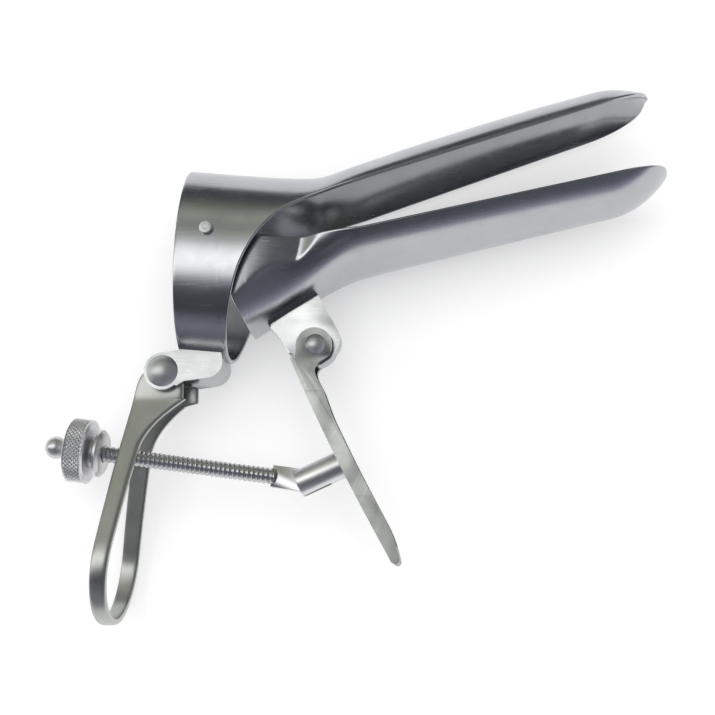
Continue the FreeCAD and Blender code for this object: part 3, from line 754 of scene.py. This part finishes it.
def loopEdges(y, near):
    # Back and front edge of the strip at a height
    eye = loop["pin"]
    t = (y - loop["leafEnd"]) / (loop["bottom"] + 1.2 - loop["leafEnd"])
    if t > 0:
        t = min(1.0, t)
        left = loop["stripX"] - loop["sweep"] * (1 - (1 - t) ** 1.35)
        width = mix(loop["width"], loop["endWidth"], t) + loop["flare"] * max(0, 1 - 4.2 * t) ** 2
        right = left + width
        if not near:
            right += (loop["toeFar"] + 8.5) * (1 - ease(0, 1.1, loop["leafEnd"] - y))
        return left, right
    toe = loop["toeNear"] if near else loop["toeFar"]
    backX, backTurn = loop["eyeBack"]
    high = eye[1] + loop["eye"] * math.sin(math.radians(backTurn))
    if y > high:
        left = eye[0] - math.sqrt(max(0.0, loop["eye"] ** 2 - (y - eye[1]) ** 2))
    else:
        leafX, leafY = loop["leafBack"]
        line = curvePoints([(-high, backX), (-leafY, leafX), (-loop["leafEnd"], loop["stripX"])], 8)
        left = heightAt(line, -y)
    slant = mix(eye[0] + loop["eye"], eye[0] + loop["eye"] * math.cos(math.radians(75)),
                (y - loop["toeTop"]) / (eye[1] + loop["eye"] - loop["toeTop"]))
    right = mix(toe, slant, ease(loop["toeTop"] - 0.35, loop["toeTop"] + 0.15, y))
    if y > eye[1]:
        right = min(right, eye[0] + math.sqrt(max(0.0, loop["eye"] ** 2 - (y - eye[1]) ** 2)))
    return left, max(right, left)


def loopHandleMesh():
    outer, leaf, radius = loop["outer"], loop["leaf"], loop["round"]
    centre = loop["bottom"] + radius
    reach = math.hypot(loop["leafEnd"] - centre, outer)
    turn = math.acos(radius / reach) + math.atan2(outer, loop["leafEnd"] - centre)
    tangentY, tangentZ = centre + radius * math.cos(turn), radius * math.sin(turn)
    slope = (tangentZ - outer) / (loop["leafEnd"] - tangentY)
    top = loop["pin"][1] + loop["eye"]
    fork = loop["leafEnd"] - 1.5
    heights = [top - (top - loop["toeTop"] - 0.6) * (1 - math.cos(math.pi / 2 * i / 16)) for i in range(17)]
    heights += [mix(heights[-1], fork, i / 34) for i in range(1, 35)]
    heights += [mix(fork, tangentY, i / 60) for i in range(1, 61)]
    path = [(y, outer - leaf / 2 + smoothMax(0.0, slope * (loop["leafEnd"] - y), 0.5)) for y in heights]
    for i in range(1, 49):
        a = mix(turn, math.pi, i / 48)
        path.append((centre + (radius - leaf / 2) * math.cos(a), (radius - leaf / 2) * math.sin(a)))
    stations = [(y, z, 1) for y, z in path] + [(y, -z, -1) for y, z in reversed(path[:-1])]
    bm = bmesh.new()
    around = 40
    rings = []
    for i, (y, z, side) in enumerate(stations):
        before, after = stations[max(0, i - 1)], stations[min(len(stations) - 1, i + 1)]
        along = Vector((0, after[0] - before[0], after[1] - before[1])).normalized()
        out = along.cross(Vector((1, 0, 0)))
        left, right = loopEdges(y, side > 0)
        middle, half = (left + right) / 2, (right - left) / 2
        crowned = ease(0, 6, loop["leafEnd"] + 3 - y)
        ring = []
        for k in range(around):
            a = 2 * math.pi * k / around
            c, s = math.cos(a), math.sin(a)
            edgePower = mix(0.35, 0.75, min(1.0, 1.3 / max(half, 0.3)))
            facePower = mix(0.30, 0.72, crowned) if s > 0 else 0.30
            x = middle + half * math.copysign(abs(c) ** edgePower, c)
            spot = Vector((x, y, z)) + out * (leaf / 2 * math.copysign(abs(s) ** facePower, s))
            ring.append(bm.verts.new(place(*spot)))
        rings.append(ring)
    joinRings(bm, rings)
    return bm


finishPiece("loopStrip", meshFrom(loopHandleMesh(), "loopStrip"), ["loop_handle"], steel["stripSteel"], 50)

# lever handle with its screw boss
lever = {
    "pin": (29.4, -31.3), "eye": 5.35, "heel": (21.95, -35.2), "length": 65.1, "lean": math.radians(26.3),
    "depth": 4.75, "bow": 0.9, "half": 4.5, "wall": 1.8, "bevel": 0.8,
}


def leverLine(t, side):
    # A point of the lever's back (side -1) or front (side 1), t of the way down
    x = lever["heel"][0] + lever["length"] * math.sin(lever["lean"]) * t
    x -= lever["bow"] * math.sin(math.pi * t)
    y = lever["heel"][1] - lever["length"] * math.cos(lever["lean"]) * t
    depth = lever["depth"] + 1.6 * max(0, 1 - 3.5 * t)
    depth -= 0.45 * lever["depth"] * max(0, 5 * t - 4) ** 2
    return (x if side < 0 else x + depth), y


def leverOutline(shift=0.0):
    eye = (lever["pin"][0] - 0.4, lever["pin"][1] - 0.3)
    ear = arcPoints(eye, lever["eye"], -35, 190, 40)
    left = [leverLine(i / 40, -1) for i in range(41)]
    right = [leverLine(i / 40, 1) for i in range(6, 41)]
    middle = ((left[-1][0] + right[-1][0]) / 2 + 0.3, left[-1][1] - 1.1)
    tip = curvePoints([left[-1], middle, right[-1]], 8, (0.15, -1), (0.15, 1))[1:-1]
    first = leverLine(1 / 6, 1)
    neck = curvePoints([first, (first[0] - 2.6, first[1] + 6.6), ear[0]], 12, (-0.35, 1))
    outline = ear + [(ear[-1][0] - 0.2, lever["heel"][1])] + left + tip + right[::-1] + neck[:-1]
    return [(x + shift, y) for x, y in outline]


def leverMesh():
    body = plateMesh(leverOutline(), -lever["half"], lever["half"], lever["bevel"], 5)
    inside = lever["half"] - lever["wall"]
    above = boxMesh((10, lever["heel"][1], -inside), (50, 5, inside))
    channel = plateMesh(leverOutline(lever["wall"] / math.cos(lever["lean"])), -inside, inside)
    tail = leverLine(0.93, -1)
    keep = boxMesh((tail[0] - 30, tail[1] - 30, -inside - 1), (tail[0] + 30, tail[1], inside + 1))
    hollow = bmesh.new()
    hollow.from_mesh(carve(channel, [keep], "leverHollow"))
    return carve(body, [above, hollow], "leverChannel")


finishPiece("leverChannel", leverMesh(), ["lever_handle"], steel["leverSteel"])

screw = {
    "pin": (26.4, -70.4), "radius": 2.45, "pitch": 1.4, "depth": 0.42, "tongueLength": 8.6, "tongue": 2.0,
    "tongueHalf": 3.2, "ballAt": 74.9, "ball": 3.34, "spigot": 1.9,
}
screwOrigin = (*screw["pin"], midHeight)
screwAxis = (-math.cos(screwLean), math.sin(screwLean), 0)
boss = {"radius": 4.0, "lean": math.radians(24), "nose": 2.6, "length": 11.6, "slot": 2.2}


def bossMesh():
    axis = (math.cos(boss["lean"]), math.sin(boss["lean"]), 0)
    radius, nose = boss["radius"], boss["nose"]
    body = lathe([(-nose, 0), (-nose, radius - 0.5), (-nose + 0.15, radius - 0.16), (-nose + 0.5, radius),
                  (boss["length"], radius), (boss["length"], 0)], screwOrigin, axis, 96)
    depth = nose + screw["tongueHalf"] + 0.6
    turn = Matrix.Rotation(boss["lean"], 2)
    corners = [Vector(c) for c in ((-depth, -15), (depth, -15), (depth, 15), (-depth, 15))]
    corners = [tuple(turn @ corner + Vector(screw["pin"])) for corner in corners]
    slot = plateMesh(corners, -boss["slot"] / 2, boss["slot"] / 2)
    return carve(body, [slot], "screwBossFork")


finishPiece("screwBossFork", bossMesh(), ["screw_boss"], steel["turnedSteel"])
pinRadius, pinBevel = rivets["boss"]["radius"], 0.3
half = math.sqrt(boss["radius"] ** 2 - pinRadius ** 2) - 0.12
crossPin = [(-half, 0), (-half, pinRadius - pinBevel), (-half + 0.25, pinRadius), (half - 0.25, pinRadius),
            (half, pinRadius - pinBevel), (half, 0)]
finishPiece("bossCrossPin", meshFrom(lathe(crossPin, screwOrigin, (0, 0, 1), 48), "bossCrossPin"),
            ["boss_pin"], steel["rivetSteel"])
print("handles ready")


# screw, nut and collar
def threadRipple(along, turn, radius):
    # One groove a turn, fading out at both ends of the thread
    if radius < screw["radius"]:
        return 0
    phase = (along / screw["pitch"] - turn / (2 * math.pi)) % 1
    groove = abs(2 * phase - 1) ** 0.85
    start = ease(screw["tongueLength"] + 0.3, screw["tongueLength"] + 1.2, along)
    stop = 1 - ease(screw["ballAt"] - 4.2, screw["ballAt"] - 3.4, along)
    return -screw["depth"] * (1 - groove) * start * stop


def screwMesh():
    first = screw["tongueLength"]
    shoulder = screw["ballAt"] - math.sqrt(screw["ball"] ** 2 - screw["spigot"] ** 2)
    count = int((shoulder - first - 0.5) / screw["pitch"] * 12)
    points = [(first, 0), (first, screw["radius"] - 0.6)]
    points += [(mix(first + 0.5, shoulder, i / count), screw["radius"]) for i in range(count + 1)]
    end = screw["ballAt"] - 1
    points += [(shoulder + 0.05, screw["spigot"]), (end, screw["spigot"]), (end, 0)]
    rod = lathe(points, screwOrigin, screwAxis, 40, threadRipple)
    turn = Matrix.Rotation(math.pi - screwLean, 2)
    width = screw["tongueHalf"]
    outline = arcPoints((0, 0), width, 90, 270, 28) + [(first + 1.4, -width), (first + 1.4, width)]
    outline = [tuple(turn @ Vector(p) + Vector(screw["pin"])) for p in outline]
    tongue = plateMesh(outline, -screw["tongue"] / 2, screw["tongue"] / 2, 0.3, 3)
    mesh = bpy.data.meshes.new("tongue")
    tongue.to_mesh(mesh)
    tongue.free()
    rod.from_mesh(mesh)
    bpy.data.meshes.remove(mesh)
    return rod


finishPiece("screwThreaded", meshFrom(screwMesh(), "screwThreaded"), ["screw_rod"], steel["threadSteel"], 50)
ballFace = math.sqrt(screw["ball"] ** 2 - screw["spigot"] ** 2)
ballPoints = [(screw["ballAt"] - ballFace, screw["spigot"] + 0.01)]
ballStart = math.pi - math.atan2(screw["spigot"], ballFace)
ballPoints += [(screw["ballAt"] + screw["ball"] * math.cos(ballStart * (1 - i / 32)),
                screw["ball"] * math.sin(ballStart * (1 - i / 32))) for i in range(33)]
finishPiece("endBallKnob", meshFrom(lathe(ballPoints, screwOrigin, screwAxis, 72), "endBallKnob"),
            ["end_ball"], steel["turnedSteel"], 60)

nut = {
    "wheelAt": 64.1, "wheelWidth": 6.3, "wheel": 9.4, "hub": 4.6, "hubLength": 1.4, "gap": 0.1, "bore": 2.53,
    "flange": 7.0, "flangeWidth": 1.7, "flangeHub": 0.6, "chamfer": 0.9, "knurl": 46, "knurlDepth": 0.40,
    "rimBevel": 0.45,
}


def knurlRipple(along, turn, radius):
    # Two crossing sets of grooves leave rows of diamonds on the wheel
    if radius < nut["wheel"]:
        return 0
    pitch = 2 * math.pi * nut["wheel"] / nut["knurl"]
    a = turn * nut["knurl"] / (2 * math.pi)
    b = (along - nut["wheelAt"]) / pitch
    first, second = abs(2 * ((a + b) % 1) - 1), abs(2 * ((a - b) % 1) - 1)
    near, far = nut["wheelAt"] + nut["rimBevel"], nut["wheelAt"] + nut["wheelWidth"] - nut["rimBevel"]
    ends = min(1.0, (along - near) / 0.5, (far - along) / 0.5)
    return -nut["knurlDepth"] * (1 - min(first, second) ** 0.8) * max(0.0, ends)


def nutMesh():
    near, far, rim = nut["wheelAt"], nut["wheelAt"] + nut["wheelWidth"], nut["wheel"]
    hub, bore, bevel = nut["hub"], nut["bore"], nut["rimBevel"]
    end = near - nut["hubLength"]
    points = [(end, bore), (end, hub - 0.2), (end + 0.2, hub), (near - 0.45, hub), (near - 0.3, hub - 0.35),
              (near, hub - 0.35), (near, rim - 0.85), (near + 0.12, rim - 0.7)]
    points += [(mix(near + bevel, far - bevel, i / 60), rim) for i in range(61)]
    points += [(far - 0.12, rim - 0.7), (far, rim - 0.85), (far, rim - 2.2), (far - 0.25, rim - 2.5),
               (far - 0.25, bore + 1.4), (far, bore + 1.1), (far, bore + 0.3), (far - 0.3, bore)]
    points.append(points[0])
    return lathe(points, screwOrigin, screwAxis, nut["knurl"] * 8, knurlRipple)


def collarMesh():
    back = nut["wheelAt"] - nut["hubLength"] - nut["gap"]
    rear, bore = back - nut["flangeHub"], nut["bore"]
    front = rear - nut["flangeWidth"]
    rim, cut = nut["flange"], nut["chamfer"]
    hub = nut["hub"] + 0.4
    points = [(front, bore), (front, rim - cut - 0.1), (front + 0.06, rim - cut),
              (front + cut - 0.06, rim - 0.06), (front + cut, rim), (rear - 0.12, rim), (rear, rim - 0.12),
              (rear, hub), (back - 0.15, hub), (back, hub - 0.15), (back, bore), (front, bore)]
    return lathe(points, screwOrigin, screwAxis, 120)


finishPiece("thumbNutKnurled", meshFrom(nutMesh(), "thumbNutKnurled"), ["thumb_nut"],
            steel["knurledSteel"], 35)
finishPiece("thrustCollarTurned", meshFrom(collarMesh(), "thrustCollarTurned"), ["thrust_collar"],
            steel["turnedSteel"])
print("screw and nut ready")

# camera, floor and light
view = {"lens": 75.52, "at": (88.7, -128.9, 423.0), "forward": (-0.1089, 0.2164, -0.9702),
        "right": (0.9938, 0.0, -0.1116), "up": (0.0241, 0.9763, 0.2151)}


def buildCamera():
    data = bpy.data.cameras.new("camera")
    data.sensor_width = 36.0
    data.lens = view["lens"]
    data.clip_start, data.clip_end = 0.01, 50.0
    camera = linkObject("camera", data)
    back = -Vector(view["forward"]).normalized()
    right = (Vector(view["right"]) - Vector(view["right"]).dot(back) * back).normalized()
    up = back.cross(right)
    turn = Matrix((right, up, back)).transposed().to_4x4()
    camera.matrix_world = Matrix.Translation(place(*view["at"])) @ turn
    bpy.context.scene.camera = camera


def seenByEye(tree):
    # 1 for the camera and for what shows in metal or glass, else 0
    path = tree.nodes.new("ShaderNodeLightPath")
    seen = mathNode(tree, "MAXIMUM", path.outputs["Is Camera Ray"], path.outputs["Is Glossy Ray"])
    return mathNode(tree, "MAXIMUM", seen, path.outputs["Is Transmission Ray"])


def buildFloor():
    bm = bmesh.new()
    bmesh.ops.create_grid(bm, x_segments=8, y_segments=8, size=3.0)
    floor = linkObject("floor", meshFrom(bm, "floor"))
    floor.location = (0.05, 0, 0)
    material = bpy.data.materials.new("paleFloor")
    material.use_nodes = True
    tree = material.node_tree
    shader = tree.nodes["Principled BSDF"]
    shader.inputs["Base Color"].default_value = (0.86, 0.86, 0.86, 1)
    shader.inputs["Roughness"].default_value = 0.9
    shader.inputs["Specular IOR Level"].default_value = 0.0
    shader.inputs["Emission Color"].default_value = (1, 1, 1, 1)
    lift = mathNode(tree, "MULTIPLY", seenByEye(tree), 0.30)
    tree.links.new(lift, shader.inputs["Emission Strength"])
    floor.data.materials.append(material)


# Brightness and colour of the studio by angle, from the side of the handles over the top to the
# side of the collar. The lamp hangs over the collar and the handles; the blades reach beyond it
cool, warm, plain = (0.90, 0.94, 1.12), (1.0, 1.03, 0.86), (1.0, 1.0, 0.97)
lampSide = [
    (-90, 0.14, cool), (-76, 0.24, cool), (-66, 0.36, cool), (-54, 0.26, cool), (-44, 0.08, cool),
    (-32, 0.10, cool), (-20, 0.11, cool), (-12, 0.32, cool), (-4, 1.6, plain), (1, 2.3, plain),
    (12, 2.3, plain), (18, 1.6, plain), (24, 0.75, plain), (32, 0.46, warm), (39, 0.37, warm),
    (46, 0.62, warm), (54, 0.46, warm), (62, 0.20, warm), (73, 0.10, cool), (84, 0.07, cool),
    (90, 0.07, cool)]
bladeSide = [
    (-90, 0.40, cool), (-76, 0.20, cool), (-62, 0.11, cool), (-32, 0.10, cool), (-14, 0.14, cool),
    (0, 0.12, cool), (16, 0.10, cool), (36, 0.16, warm), (60, 0.18, warm), (90, 0.08, cool)]
lampEnd = {"start": -0.08, "end": 0.04}
paleEnd = {"start": 0.18, "end": 0.40, "strength": 1.8}     # a pale wall past the blade tips


def buildTent():
    # A tent of pale and dark cloth over the table, seen only in the polished steel
    bm = bmesh.new()
    bmesh.ops.create_uvsphere(bm, u_segments=48, v_segments=24, radius=2.8)
    low = [v for v in bm.verts if v.co.z < -0.01]
    bmesh.ops.delete(bm, geom=low, context="VERTS")
    tent = linkObject("tent", meshFrom(bm, "tent"))
    tent.visible_camera = tent.visible_diffuse = tent.visible_shadow = tent.visible_transmission = False
    material = bpy.data.materials.new("tentCloth")
    material.use_nodes = True
    tree = material.node_tree
    tree.nodes.clear()
    spot = tree.nodes.new("ShaderNodeTexCoord")
    parts = addNode(tree, "SeparateXYZ", [(0, spot.outputs["Object"])])
    turn = mathNode(tree, "ARCTAN2", parts.outputs[1], parts.outputs[2])
    share = addNode(tree, "MapRange", [("Value", turn)],
                    {"From Min": -math.pi / 2, "From Max": math.pi / 2})
    shades = []
    for stopList in (lampSide, bladeSide):
        ramp = tree.nodes.new("ShaderNodeValToRGB")
        tree.links.new(share.outputs[0], ramp.inputs[0])
        ramp.color_ramp.interpolation = "EASE"
        stops = ramp.color_ramp.elements
        while len(stops) < len(stopList):
            stops.new(0.5)
        for stop, (angle, value, tint) in zip(stops, stopList):
            stop.position = (angle + 90) / 180
            stop.color = (*[value * part for part in tint], 1)
        shades.append(ramp.outputs[0])
    size = addNode(tree, "VectorMath", [(0, spot.outputs["Object"])], operation="NORMALIZE")
    ahead = addNode(tree, "SeparateXYZ", [(0, size.outputs[0])])
    fade = addNode(tree, "MapRange", [("Value", ahead.outputs[0])],
                   {"From Min": lampEnd["start"], "From Max": lampEnd["end"]},
                   interpolation_type="SMOOTHSTEP")
    both = addNode(tree, "Mix", [(0, fade.outputs[0]), (6, shades[0]), (7, shades[1])], data_type="RGBA")
    wall = addNode(tree, "MapRange", [("Value", ahead.outputs[0])],
                   {"From Min": paleEnd["start"], "From Max": paleEnd["end"], "To Min": 1.0,
                    "To Max": paleEnd["strength"]}, interpolation_type="SMOOTHSTEP")
    glow = addNode(tree, "Emission", [("Color", both.outputs[2]), ("Strength", wall.outputs[0])])
    addNode(tree, "OutputMaterial", [("Surface", glow.outputs[0])])
    tent.data.materials.append(material)


def buildLight():
    world = bpy.data.worlds.new("paleRoom")
    bpy.context.scene.world = world
    world.use_nodes = True
    room = world.node_tree.nodes["Background"]
    room.inputs["Color"].default_value = (0.93, 0.93, 0.93, 1)
    room.inputs["Strength"].default_value = 0.75
    data = bpy.data.lights.new("softBox", "AREA")
    data.shape = "SQUARE"
    data.size = 1.6
    data.energy = 9.0
    lamp = linkObject("softBox", data)
    lamp.location = (0.1, 0.1, 1.6)
    lamp.visible_glossy = False


buildCamera()
buildFloor()
buildTent()
buildLight()
print("studio ready")
bpy.context.scene.view_settings.view_transform = "Standard"
